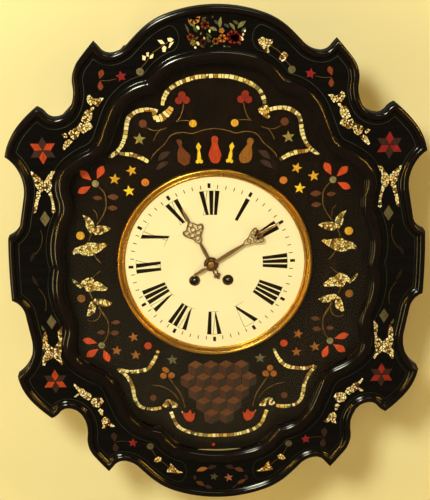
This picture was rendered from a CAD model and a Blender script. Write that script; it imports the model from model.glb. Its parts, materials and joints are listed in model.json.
"""A wavy-fronted wall clock with an inlaid ebonised door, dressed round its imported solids.

Lengths inside the classes are millimetres in the clock's own frame: x to the viewer's right, y into
the wall, z up, with y = 0 on the wall. They turn to metres where a mesh is made.
"""
import json
import logging
import math
from dataclasses import dataclass, field
from enum import Enum
from functools import partial
from typing import Callable, Iterable, Sequence

import bmesh
import bpy
import numpy as np
from mathutils import Matrix, Vector
from mathutils.geometry import tessellate_polygon


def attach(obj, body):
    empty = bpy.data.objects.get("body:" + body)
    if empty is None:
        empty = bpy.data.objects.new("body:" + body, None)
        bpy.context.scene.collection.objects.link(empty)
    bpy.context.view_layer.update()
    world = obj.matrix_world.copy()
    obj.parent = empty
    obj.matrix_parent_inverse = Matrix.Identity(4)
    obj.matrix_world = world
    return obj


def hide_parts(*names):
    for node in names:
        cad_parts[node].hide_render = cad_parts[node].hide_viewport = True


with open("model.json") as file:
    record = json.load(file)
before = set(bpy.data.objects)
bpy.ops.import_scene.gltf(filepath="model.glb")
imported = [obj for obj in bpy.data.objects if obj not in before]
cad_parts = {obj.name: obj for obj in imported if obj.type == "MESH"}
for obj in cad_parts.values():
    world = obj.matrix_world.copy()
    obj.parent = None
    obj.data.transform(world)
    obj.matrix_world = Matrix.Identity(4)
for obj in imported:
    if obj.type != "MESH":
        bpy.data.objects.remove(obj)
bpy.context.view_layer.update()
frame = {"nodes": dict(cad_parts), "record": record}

Array = np.ndarray
Points = Sequence[Sequence[float]]
Socket = bpy.types.NodeSocket
Tree = bpy.types.NodeTree
LOG = logging.getLogger("clock")
MM = 0.001
# Depths of the clock's own planes, in mm
Y_DOOR_BACK = -92.0
Y_FRIEZE = -108.0
Y_PANEL = -96.0
Y_DIAL = -97.5
# Middles of the bezel, of the print on the dial and of the hands, in mm from the front's middle
BEZEL_X = -3.5
PRINT_AT = np.array([-7.5, -0.4])
PRINT_TURN = math.radians(-1.4)
HUB_AT = np.array([-8.5, 0.0])


def linear(code: str) -> tuple[float, float, float, float]:
    """Turns an sRGB hex colour to linear light.

    Args:
        code: Six hex digits after a hash sign.

    Returns:
        Linear red, green and blue, with an alpha of one.
    """
    parts = np.array([int(code[i:i + 2], 16) for i in (1, 3, 5)]) / 255.0
    light = np.where(parts <= 0.04045, parts / 12.92, ((parts + 0.055) / 1.055) ** 2.4)
    return (*map(float, light), 1.0)


def per_mm(size: float) -> float:
    """Gives the texture scale whose features measure size millimetres on Object coordinates."""
    return 1000.0 / size


def add_node(tree: Tree, kind: str, inputs: dict | None = None,
             stops: Sequence[tuple[float, str]] = (), **settings: object) -> bpy.types.Node:
    """Adds one node, sets it up and links it.

    Args:
        tree: Node tree that gets the node.
        kind: Blender's type name of the node.
        inputs: Input name or number to a value, or to the socket that feeds it.
        stops: Position and hex colour of each stop of a colour ramp.
        settings: Attributes of the node itself.

    Returns:
        The new node.
    """
    node = tree.nodes.new(kind)
    for name, value in settings.items():
        setattr(node, name, value)
    for key, value in (inputs or {}).items():
        if isinstance(value, Socket):
            tree.links.new(value, node.inputs[key])
        else:
            node.inputs[key].default_value = value
    for number, (at, code) in enumerate(stops):
        if number >= len(node.color_ramp.elements):
            node.color_ramp.elements.new(at)
        node.color_ramp.elements[number].position = at
        node.color_ramp.elements[number].color = linear(code)
    return node


class Finish:
    """A material made once under its own name, with one Principled shader."""

    name: str

    def shader(self, tree: Tree, place: Socket) -> dict:
        """Builds the nodes of the finish.

        Args:
            tree: Node tree to build in.
            place: Object coordinates.

        Returns:
            Inputs of the Principled shader.
        """
        raise NotImplementedError

    def surface(self, tree: Tree, principled: bpy.types.Node) -> Socket:
        """Gives the socket that the material's output takes."""
        return principled.outputs["BSDF"]

    def material(self) -> bpy.types.Material:
        """Makes the material, or finds it if it is made already.

        Returns:
            The material.
        """
        found = bpy.data.materials.get(self.name)
        if found:
            return found
        made = bpy.data.materials.new(self.name)
        made.use_nodes = True
        tree = made.node_tree
        tree.nodes.clear()
        place = add_node(tree, "ShaderNodeTexCoord").outputs["Object"]
        principled = add_node(tree, "ShaderNodeBsdfPrincipled", self.shader(tree, place))
        add_node(tree, "ShaderNodeOutputMaterial", {"Surface": self.surface(tree, principled)})
        return made


def stretched(tree: Tree, place: Socket, scale: Sequence[float]) -> Socket:
    """Object coordinates scaled by axis: a pattern runs along the axis with the least scale."""
    return add_node(tree, "ShaderNodeMapping", {"Vector": place, "Scale": scale}).outputs[0]


def noise(tree: Tree, place: Socket, size: float, detail: float = 2.0,
          roughness: float = 0.5) -> bpy.types.Node:
    """Noise whose features measure size millimetres."""
    return add_node(tree, "ShaderNodeTexNoise", {
        "Vector": place, "Scale": per_mm(size), "Detail": detail, "Roughness": roughness})


def ramp(tree: Tree, value: Socket, *stops: tuple[float, str]) -> Socket:
    """Colour read off a ramp of hex colours."""
    return add_node(tree, "ShaderNodeValToRGB", {"Fac": value}, stops).outputs["Color"]


def spread(tree: Tree, value: Socket, low: float, high: float, start: float = 0.0,
           end: float = 1.0) -> Socket:
    """Carries a value between start and end to one between low and high.

    Args:
        tree: Node tree to build in.
        value: The value.
        low: What start becomes.
        high: What end becomes.
        start: Low end of the value.
        end: High end of the value.

    Returns:
        The carried value.
    """
    return add_node(tree, "ShaderNodeMapRange", {
        "Value": value, "From Min": start, "From Max": end, "To Min": low,
        "To Max": high}).outputs[0]


def mixed(tree: Tree, share: Socket | float, a: object, b: object, blend: str = "MIX") -> Socket:
    """Mixes two colours, or for the blend MULTIPLY lays the second over the first."""
    return add_node(tree, "ShaderNodeMix", {0: share, 6: a, 7: b}, data_type="RGBA",
                    blend_type=blend).outputs[2]


def relief(tree: Tree, height: Socket, strength: float, depth: float) -> Socket:
    """Normal of a fine relief, depth millimetres deep and eased by strength."""
    return add_node(tree, "ShaderNodeBump", {
        "Height": height, "Strength": strength, "Distance": depth * MM}).outputs[0]


def mesh_mark(tree: Tree, name: str) -> bpy.types.Node:
    """Reads a mark that the mesh carries: tint, a colour, or wear, a share."""
    return add_node(tree, "ShaderNodeAttribute", attribute_name=name)


@dataclass(frozen=True)
class PolishedBlackWood(Finish):
    """Pear wood stained black and French polished.

    It reads as near black with a soft deep gloss. Pores 0.3 mm across run along the grain, drawn
    1 mm across here so that they show, and the polish is rubbed browner where hands and dusters
    reach, on the crests that the wear attribute marks.
    """

    name: str = "ebonised_pear_french_polished"
    dark: str = "#060505"
    light: str = "#0d0a0a"
    rubbed: str = "#1a100c"
    grain: float = 6.0
    cloud: float = 45.0
    pore: float = 1.0
    along: Sequence[float] = (0.06, 1.0, 1.0)

    def shader(self, tree: Tree, place: Socket) -> dict:
        """Builds dark grain, rubbed crests and a gloss that varies from hand to hand.

        Args:
            tree: Node tree to build in.
            place: Object coordinates.

        Returns:
            Inputs of the Principled shader.
        """
        grain_at = stretched(tree, place, self.along)
        grain = noise(tree, grain_at, self.grain, 4.0, 0.6).outputs["Fac"]
        base = ramp(tree, grain, (0.35, self.dark), (0.7, self.light))
        worn = mesh_mark(tree, "wear").outputs["Fac"]
        patch = noise(tree, place, self.cloud, 3.0).outputs["Fac"]
        share = add_node(tree, "ShaderNodeMath", {0: worn, 1: patch}, operation="MULTIPLY")
        pores = noise(tree, grain_at, self.pore).outputs["Fac"]
        return {"Base Color": mixed(tree, share.outputs[0], base, linear(self.rubbed)),
                "Roughness": spread(tree, patch, 0.08, 0.18), "IOR": 1.4,
                "Normal": relief(tree, pores, 0.06, 0.1),
                "Coat Weight": 0.15, "Coat Roughness": 0.06}


@dataclass(frozen=True)
class PanelVeneer(Finish):
    """Dark rosewood veneer under old polish, the ground of the inlaid panel.

    Brown-black figure flows across in streaks 3 to 10 mm wide, a little redder than the door.
    """

    name: str = "rosewood_veneer_polished"
    sway: float = 90.0
    streak: float = 7.0

    def shader(self, tree: Tree, place: Socket) -> dict:
        """Builds flowing figure from noise whose place is bent by a wider noise.

        Args:
            tree: Node tree to build in.
            place: Object coordinates.

        Returns:
            Inputs of the Principled shader.
        """
        wide = noise(tree, place, self.sway).outputs["Color"]
        bent = add_node(tree, "ShaderNodeMix", {0: 0.04, 4: place, 5: wide}, data_type="VECTOR")
        flow = stretched(tree, bent.outputs[1], (1.0, 1.0, 0.12))
        figure = noise(tree, flow, self.streak, 6.0, 0.65).outputs["Fac"]
        return {"Base Color": ramp(tree, figure, (0.3, "#080504"), (0.55, "#130a07"),
                                   (0.75, "#22110b")),
                "Roughness": 0.3, "Normal": relief(tree, figure, 0.08, 0.2), "IOR": 1.25}


@dataclass(frozen=True)
class PineBoard(Finish):
    """Planed pine left bare inside and behind: pale rings 5 mm apart with darker late wood."""

    name: str = "pine_planed"
    rings: float = 30.0
    fibre: float = 0.8

    def shader(self, tree: Tree, place: Socket) -> dict:
        """Builds growth rings as stretched waves and a fine fibre bump.

        Args:
            tree: Node tree to build in.
            place: Object coordinates.

        Returns:
            Inputs of the Principled shader.
        """
        at = stretched(tree, place, (1.0, 1.0, 0.05))
        rings = add_node(tree, "ShaderNodeTexWave", {
            "Vector": at, "Scale": per_mm(self.rings), "Distortion": 9.0, "Detail": 3.0,
            "Detail Scale": 1.4}, bands_direction="X").outputs["Fac"]
        fibre = noise(tree, at, self.fibre, 3.0).outputs["Fac"]
        return {"Base Color": ramp(tree, rings, (0.1, "#7c5630"), (0.75, "#a67c48"),
                                   (1.0, "#5f3d1f")),
                "Roughness": 0.66, "Normal": relief(tree, fibre, 0.3, 0.3)}


@dataclass(frozen=True)
class CastMetal(Finish):
    """A worked metal with a tarnish that lies in clouds and fine lines left by the file or lathe.

    The lines are about 0.1 mm apart on the real surface and drawn 0.5 mm apart so that they show.
    """

    name: str
    bright: str
    tarnished: str
    polish: float
    cloud: float = 14.0
    line: float = 0.5
    dulled: float = 0.18

    def shader(self, tree: Tree, place: Socket) -> dict:
        """Builds a metal whose colour and polish drop together where it is tarnished.

        Args:
            tree: Node tree to build in.
            place: Object coordinates.

        Returns:
            Inputs of the Principled shader.
        """
        cloud = noise(tree, place, self.cloud, 4.0, 0.6).outputs["Fac"]
        lines = noise(tree, stretched(tree, place, (0.1, 1.0, 1.0)), self.line).outputs["Fac"]
        return {"Base Color": ramp(tree, cloud, (0.38, self.bright), (0.68, self.tarnished)),
                "Roughness": spread(tree, cloud, self.polish, self.polish + self.dulled, 0.35, 0.7),
                "Metallic": 1.0, "Normal": relief(tree, lines, 0.06, 0.1)}


@dataclass(frozen=True)
class VitreousEnamel(Finish):
    """White enamel fired on copper, warm with age: glassy, with an orange-peel ripple of 8 mm."""

    name: str = "vitreous_enamel_on_copper"
    cloud: float = 40.0
    ripple: float = 8.0

    def shader(self, tree: Tree, place: Socket) -> dict:
        """Builds a cream ground with faint clouding and a shallow ripple.

        Args:
            tree: Node tree to build in.
            place: Object coordinates.

        Returns:
            Inputs of the Principled shader.
        """
        cloud = noise(tree, place, self.cloud, 3.0).outputs["Fac"]
        ripple = noise(tree, place, self.ripple).outputs["Fac"]
        return {"Base Color": ramp(tree, cloud, (0.3, "#efe6cc"), (0.7, "#f4ecd4")),
                "Roughness": 0.16, "Normal": relief(tree, ripple, 0.03, 0.3), "IOR": 1.5}


@dataclass(frozen=True)
class FiredInk(Finish):
    """Black ceramic ink fired into the enamel: dense brown-black, thinner in patches of 5 mm."""

    name: str = "fired_black_ink"
    patch: float = 5.0

    def shader(self, tree: Tree, place: Socket) -> dict:
        """Builds an uneven black, duller than the enamel under it.

        Args:
            tree: Node tree to build in.
            place: Object coordinates.

        Returns:
            Inputs of the Principled shader.
        """
        patch = noise(tree, place, self.patch).outputs["Fac"]
        return {"Base Color": ramp(tree, patch, (0.3, "#0b0503"), (0.75, "#1f1008")),
                "Roughness": 0.4, "IOR": 1.2}


@dataclass(frozen=True)
class DyedVeneer(Finish):
    """Veneer dyed right through, cut to shape and let into the ground flush.

    Its dye comes from the tint attribute, darker along fibres about 0.4 mm apart, drawn 2.4 mm.
    """

    name: str = "dyed_sycamore_veneer"
    fibre: float = 2.4

    def shader(self, tree: Tree, place: Socket) -> dict:
        """Builds the dye of each piece with fibres and clouds over it.

        Args:
            tree: Node tree to build in.
            place: Object coordinates.

        Returns:
            Inputs of the Principled shader.
        """
        tint = mesh_mark(tree, "tint").outputs["Color"]
        fibre = noise(tree, stretched(tree, place, (1.0, 1.0, 0.3)), self.fibre, 5.0).outputs["Fac"]
        shade = spread(tree, fibre, 0.55, 1.2, 0.3, 0.7)
        return {"Base Color": mixed(tree, 1.0, tint, shade, "MULTIPLY"), "Roughness": 0.4,
                "Normal": relief(tree, fibre, 0.1, 0.1), "IOR": 1.45}


@dataclass(frozen=True)
class MotherOfPearl(Finish):
    """Shell of mother-of-pearl ground flat, in small chips.

    Each chip has the colour of its own layer of shell, cream, rose, green or smoke, from the tint
    attribute, with bands of growth about 2 mm apart and a wet gloss.
    """

    name: str = "mother_of_pearl"
    growth: float = 2.4

    def shader(self, tree: Tree, place: Socket) -> dict:
        """Builds the layer's colour with growth bands of rose and green light.

        Args:
            tree: Node tree to build in.
            place: Object coordinates.

        Returns:
            Inputs of the Principled shader.
        """
        tint = mesh_mark(tree, "tint").outputs["Color"]
        growth = noise(tree, place, self.growth, 3.0)
        growth.inputs["Distortion"].default_value = 1.5
        sheen = ramp(tree, growth.outputs["Fac"], (0.3, "#9fae8c"), (0.45, "#fffbea"),
                     (0.6, "#fff4ea"), (0.75, "#d9a9a0"))
        return {"Base Color": mixed(tree, 0.85, tint, sheen, "MULTIPLY"), "Roughness": 0.22,
                "IOR": 1.6, "Coat Weight": 0.6, "Coat Roughness": 0.05}


def either(tree: Tree, share: Socket, first: Socket, second: Socket) -> Socket:
    """Chooses the first shader, or the second where share is one."""
    return add_node(tree, "ShaderNodeMixShader", {0: share, 1: first, 2: second}).outputs["Shader"]


@dataclass(frozen=True)
class WindowGlass(Finish):
    """Old window glass, nearly clear, with a wave 60 mm long left by drawing."""

    name: str = "window_glass"
    wave: float = 60.0

    def shader(self, tree: Tree, place: Socket) -> dict:
        """Builds clear glass with a very shallow wave.

        Args:
            tree: Node tree to build in.
            place: Object coordinates.

        Returns:
            Inputs of the Principled shader.
        """
        wave = noise(tree, place, self.wave).outputs["Fac"]
        return {"Base Color": linear("#fbfdfa"), "Roughness": 0.0, "IOR": 1.2,
                "Transmission Weight": 1.0, "Normal": relief(tree, wave, 0.02, 0.5)}

    def surface(self, tree: Tree, principled: bpy.types.Node) -> Socket:
        """Lets the lamps' light through, once: diffuse rays go straight on too, unbent.

        Args:
            tree: Node tree to build in.
            principled: The finish's Principled shader.

        Returns:
            Socket that the material's output takes.
        """
        path = add_node(tree, "ShaderNodeLightPath")
        clear = add_node(tree, "ShaderNodeBsdfTransparent").outputs["BSDF"]
        glass = either(tree, path.outputs["Is Diffuse Ray"], principled.outputs["BSDF"], clear)
        return either(tree, path.outputs["Is Shadow Ray"], glass, clear)


BLACK_WOOD = PolishedBlackWood()
VENEER = PanelVeneer()
PINE = PineBoard()
ENAMEL = VitreousEnamel()
INK = FiredInk()
DYED = DyedVeneer()
PEARL = MotherOfPearl()
GLASS = WindowGlass()
# The bezel's deep yellow gold, evenly bright
GILT = CastMetal("fire_gilt_brass", "#c29140", "#9a6a24", 0.2, 60.0)
# Pale yellow plates and wheels, hinges and latch
BRASS = CastMetal("lacquered_brass", "#c9a45a", "#93702f", 0.28)
# Brown gold of the hands and their nut, mottled
BRONZED = CastMetal("bronzed_brass", "#8a5a2a", "#4a2c14", 0.34, 6.0)
# Cool grey arbors, springs, nuts and gong
STEEL = CastMetal("polished_steel", "#a3a5a8", "#6c6a68", 0.3)
# Soft grey-yellow lozenges and discs
PEWTER = CastMetal("pewter_inlay", "#9c9270", "#6e6449", 0.5, 5.0)
# Dull dark line round the frieze
STRING = CastMetal("pewter_string_inlay", "#54524a", "#2c2b28", 0.5, 30.0)
# Thin brown-gold stems
BRASS_WIRE = CastMetal("brass_wire_inlay", "#8a6c3c", "#5a4424", 0.5, 9.0)
# Near black brown of the hubs and the winding holes' rims
DARK_METAL = CastMetal("oxidised_brass", "#70482a", "#2c1a10", 0.42, 5.0)


class Dye(Enum):
    """Dyes of the veneers, as the eye sees them under the polish."""

    RED = "#b03a16"
    DEEP_RED = "#8c2018"
    FLAME = "#cf4a1c"
    ORANGE = "#c9772a"
    YELLOW = "#f4cc28"
    GOLD = "#d9a428"
    BROWN = "#5c3118"
    TOBACCO = "#96591c"
    OLIVE = "#4a4426"
    LEAF = "#3c4a22"
    GREY = "#625f4a"
    SMOKE = "#3d4440"
    SAGE = "#77754a"
    PEACH = "#c98544"
    WINE = "#4c1616"
    CRIMSON = "#861820"
    TAN = "#96583a"
    STRAW = "#8f8344"
    OCHRE = "#dca42c"
    OCHRE_DARK = "#8e5a1a"
    BARK = "#643210"
    DARK = "#1e110b"
    RUST = "#7c3616"
    UMBER = "#35201a"
    BLOCK_TOP = "#5c3214"
    BLOCK_SIDE = "#3c1a0c"
    WINE_RED = "#86200f"


def grid_faces(rows: int, columns: int, close_rows: bool, close_columns: bool) -> Array:
    """Quads of a grid whose points are stored row after row.

    Args:
        rows: Number of rows of points.
        columns: Points in a row.
        close_rows: Whether the last row joins the first.
        close_columns: Whether the end of a row joins its start.

    Returns:
        One row of four point numbers for each quad.
    """
    i, j = np.meshgrid(np.arange(rows if close_rows else rows - 1),
                       np.arange(columns if close_columns else columns - 1), indexing="ij")
    after, beside = (i + 1) % rows, (j + 1) % columns
    return np.stack([i * columns + j, i * columns + beside,
                     after * columns + beside, after * columns + j], -1).reshape(-1, 4)


def at_depth(flat: Array, y: float | Array) -> Array:
    """Puts points of the front's plane, rows of x and z, at a depth y."""
    return np.column_stack([flat[:, 0], np.broadcast_to(y, len(flat)), flat[:, 1]])


def circle(count: int) -> Array:
    """Points of the unit circle."""
    a = np.linspace(0.0, 2 * math.pi, count, endpoint=False)
    return np.column_stack([np.cos(a), np.sin(a)])


@dataclass
class Piece:
    """Points, faces and marks gathered for one mesh, in millimetres."""

    name: str
    points: list[Array] = field(default_factory=list)
    faces: list[list[int]] = field(default_factory=list)
    marks: list[Array] = field(default_factory=list)
    count: int = 0

    def add(self, points: Array, faces: Iterable, mark: Array | None = None) -> None:
        """Adds a closed part.

        Args:
            points: Rows of x, y and z.
            faces: Rows of point numbers, counted from this part's first point.
            mark: Colour or wear of each point, or None.
        """
        groups = faces if isinstance(faces, list) else [faces]
        for group in groups:
            group = np.asarray(group)
            shifted = group + self.count
            self.faces += shifted.tolist() if group.ndim == 2 else [shifted.tolist()]
        self.points.append(points)
        if mark is not None:
            self.marks.append(mark)
        self.count += len(points)

    def plate(self, outline: Array, front: float | Array, back: float,
              mark: Array | None = None) -> None:
        """Adds a flat plate.

        Args:
            outline: Its outline, rows of x and z.
            front: Depth of its front, or of each point of its front.
            back: Depth of its back.
            mark: Colour or wear of each point, or None.
        """
        n = len(outline)
        edge = np.arange(n)
        beside = np.roll(edge, -1)
        sides = np.column_stack([edge, beside, beside + n, edge + n])
        self.add(np.concatenate([at_depth(outline, front), at_depth(outline, back)]),
                 [edge, edge[::-1] + n, sides], mark)

    def tube(self, rings: Array, closed: bool, mark: Array | None = None) -> None:
        """Adds a closed profile carried along a line.

        Args:
            rings: Array of profiles, each a closed ring of points.
            closed: Whether the last profile joins the first, else both ends are capped.
            mark: Colour or wear of each point, or None.
        """
        rows, columns = rings.shape[:2]
        faces: list = [grid_faces(rows, columns, closed, True)]
        if not closed:
            faces += [np.arange(columns), np.arange(columns) + (rows - 1) * columns]
        self.add(rings.reshape(-1, 3), faces, mark)

    def finish(self, finish: Finish, body: str, slot: str, sharp: float = 30.0,
               stands_for: Sequence[str] = ()) -> bpy.types.Object:
        """Makes the mesh, dresses it and hands it to its body.

        Args:
            finish: What the piece is made of.
            body: CAD body that it rides on.
            slot: Material slot of the record.
            sharp: Angle in degrees past which an edge stays sharp.
            stands_for: CAD nodes that it replaces.

        Returns:
            The new object.
        """
        mesh = bpy.data.meshes.new(self.name)
        mesh.from_pydata(np.concatenate(self.points) * MM, [], self.faces)
        if self.marks:
            marks = np.concatenate(self.marks)
            kind, key = ("FLOAT_COLOR", "color") if marks.ndim == 2 else ("FLOAT", "value")
            layer = mesh.attributes.new("tint" if marks.ndim == 2 else "wear", kind, "POINT")
            layer.data.foreach_set(key, marks.astype(np.float32).ravel())
        work = bmesh.new()
        work.from_mesh(mesh)
        bmesh.ops.recalc_face_normals(work, faces=work.faces)
        work.to_mesh(mesh)
        work.free()
        mesh.shade_smooth()
        mesh.set_sharp_from_angle(angle=math.radians(sharp))
        mesh.materials.append(finish.material())
        made = bpy.data.objects.new(self.name, mesh)
        bpy.context.scene.collection.objects.link(made)
        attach(made, body)
        if stands_for:
            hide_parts(*stands_for)
        LOG.info("%s: %d faces on %s", self.name, len(mesh.polygons), body)
        return made


def turned(shape: Array, angle: float) -> Array:
    """Turns a shape about the origin, counter-clockwise for a positive angle in degrees."""
    a = math.radians(angle)
    return shape @ np.array([[math.cos(a), math.sin(a)], [-math.sin(a), math.cos(a)]])


def normals(line: Array) -> Array:
    """Finds the normals of a line from each point's neighbours.

    Args:
        line: Points of the line.

    Returns:
        A unit normal for each point, to the left of travel.
    """
    ends = np.concatenate([line[:1], line, line[-1:]])
    run = ends[2:] - ends[:-2]
    run = run / np.linalg.norm(run, axis=1)[:, None]
    return np.column_stack([-run[:, 1], run[:, 0]])


def lengths(line: Array) -> Array:
    """Distance of each point from the start, along the line."""
    return np.concatenate([[0.0], np.cumsum(np.linalg.norm(np.diff(line, axis=0), axis=1))])


def even(line: Array, count: int) -> Array:
    """Lays a line out again at even distances.

    Args:
        line: Points of the line.
        count: Number of points wanted.

    Returns:
        The new points, the two ends kept.
    """
    far = lengths(line)
    at = np.linspace(0.0, far[-1], count)
    return np.column_stack([np.interp(at, far, line[:, k]) for k in range(line.shape[1])])


def smooth(points: Points, per_span: int = 8) -> Array:
    """Carries a curve through points.

    Each span is the cubic whose slope at a point is half the step between its neighbours.

    Args:
        points: Two or more points.
        per_span: Steps between two points.

    Returns:
        The curve's points, the given ones among them.
    """
    p = np.asarray(points, float)
    ends = np.concatenate([2 * p[:1] - p[1:2], p, 2 * p[-1:] - p[-2:-1]])
    t = (np.arange(per_span) / per_span)[None, :, None]
    a, b, c, d = (ends[k:len(ends) - 3 + k, None, :] for k in range(4))
    curve = 0.5 * (2 * b + (c - a) * t + (2 * a - 5 * b + 4 * c - d) * t ** 2
                   + (3 * b - a - 3 * c + d) * t ** 3)
    return np.concatenate([curve.reshape(-1, p.shape[1]), p[-1:]])


def cross(a: Array, b: Array) -> Array:
    """Cross product of flat vectors."""
    return a[..., 0] * b[..., 1] - a[..., 1] * b[..., 0]


@dataclass(frozen=True)
class WavyLine:
    """A closed line, alike left and right and above and below, as a chain of tangent arcs.

    The nodes run through one quarter from the top middle to the side middle. A third number in a
    node is the new heading, in degrees, where the line starts afresh at a cusp.
    """

    nodes: tuple[tuple[float, ...], ...]
    step: float = 1.5
    straight: float = 0.009

    def arc(self, start: Array, end: Array, heading: float) -> tuple[Array, float]:
        """Points of the arc that leaves start along heading and ends at end.

        The arc turns by twice the angle between the heading and its chord, and its radius is half
        the chord over the sine of half that turn.

        Args:
            start: First point, left out of the result.
            end: Last point.
            heading: Direction of travel at the start, in radians.

        Returns:
            The points, and the heading at the end.
        """
        chord = end - start
        way = math.atan2(chord[1], chord[0])
        turn = (2 * (way - heading) + math.pi) % (2 * math.pi) - math.pi
        size = float(np.linalg.norm(chord))
        count = max(1, math.ceil(size / self.step))
        t = np.arange(1, count + 1) / count
        if abs(turn) < self.straight:
            return start + chord * t[:, None], 2 * way - heading
        radius = size / 2 / math.sin(turn / 2)
        middle = start + radius * np.array([-math.sin(heading), math.cos(heading)])
        a = heading + turn * t
        return middle + radius * np.column_stack([np.sin(a), -np.cos(a)]), 2 * way - heading

    def quarter(self) -> list[Array]:
        """Makes one quarter of the line.

        Returns:
            Its smooth stretches, each between two cusps.
        """
        done: list[Array] = []
        heading = math.radians(self.nodes[0][2])
        line = [np.array([self.nodes[0][:2]])]
        for node, following in zip(self.nodes, self.nodes[1:]):
            points, heading = self.arc(np.array(node[:2]), np.array(following[:2]), heading)
            line.append(points)
            if len(following) == 3:
                done.append(np.concatenate(line))
                line = [np.array([following[:2]])]
                heading = math.radians(following[2])
        return done + [np.concatenate(line)]

    def ring(self) -> list[Array]:
        """Makes the closed line from its quarter.

        Returns:
            All stretches, clockwise from the first cusp right of the top.
        """
        quarter = self.quarter()
        flip_x, flip_z = np.array([-1.0, 1.0]), np.array([1.0, -1.0])
        side = np.concatenate([quarter[-1], quarter[-1][-2::-1] * flip_z])
        top = np.concatenate([quarter[0][:0:-1] * flip_x, quarter[0]])
        inner = quarter[1:-1]
        low = [s[::-1] * flip_z for s in inner[::-1]]
        half = inner + [side] + low + [top[::-1] * flip_z]
        return half + [s * -1 for s in half[:-1]] + [top]

    def moved(self, distance: float) -> Array:
        """The whole line moved sideways, mitred where two moved stretches meet.

        Args:
            distance: How far it moves to the left of its clockwise travel, which is outwards.

        Returns:
            Points of the closed line, as many for every distance.
        """
        ring = self.ring()
        moved = [s + distance * normals(s) for s in ring]
        meets = [self.meeting(s, t) if distance else (s[-1], len(s) - 2, 0)
                 for s, t in zip(moved, moved[1:] + moved[:1])]
        parts = []
        for s, before, after, source in zip(moved, meets[-1:] + meets[:-1], meets, ring):
            cut = np.concatenate([before[0][None], s[before[2] + 1:after[1] + 1], after[0][None]])
            parts.append(even(cut, len(source))[:-1])
        return np.concatenate(parts)

    @staticmethod
    def meeting(s: Array, t: Array) -> tuple[Array, int, int]:
        """Finds where two moved neighbours cross.

        Args:
            s: Points of one stretch.
            t: Points of the next.

        Returns:
            The point, and the number of the step that it lies on in each.
        """
        u, v = np.diff(s, axis=0)[:, None], np.diff(t, axis=0)[None]
        w = t[None, :-1] - s[:-1, None]
        scale = cross(u, v)
        scale[np.abs(scale) < 1e-12] = np.nan
        a, b = cross(w, v) / scale, cross(w, u) / scale
        hits = np.argwhere((np.abs(a - 0.5) <= 0.500001) & (np.abs(b - 0.5) <= 0.500001))
        i, j = sorted(hits.tolist(), key=lambda hit: (-hit[0], hit[1]))[0]
        return s[i] + u[i, 0] * a[i, j], i, j


OUTLINE = WavyLine((
    (0, 336.8, 0), (62, 325.6), (94, 305.5), (110, 289), (129.5, 278.6), (144, 284.5),
    (152, 293.5, -49), (171, 270.5), (179, 240), (184.5, 210), (203.5, 198.4), (215, 204),
    (226, 212, -38), (251, 188), (268.4, 150.5, 214), (255.5, 137.5), (247.2, 97), (253.5, 62.5),
    (270, 42.8, -87), (271, 0)))
OPENING = WavyLine((
    (0, 266.3, 0), (44, 260), (66, 245.5), (78, 229.5, -1), (103, 221.5), (121, 199),
    (133, 167.5), (157, 142), (179, 128.5), (187, 100), (189.5, 62), (194.5, 0)))


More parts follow.
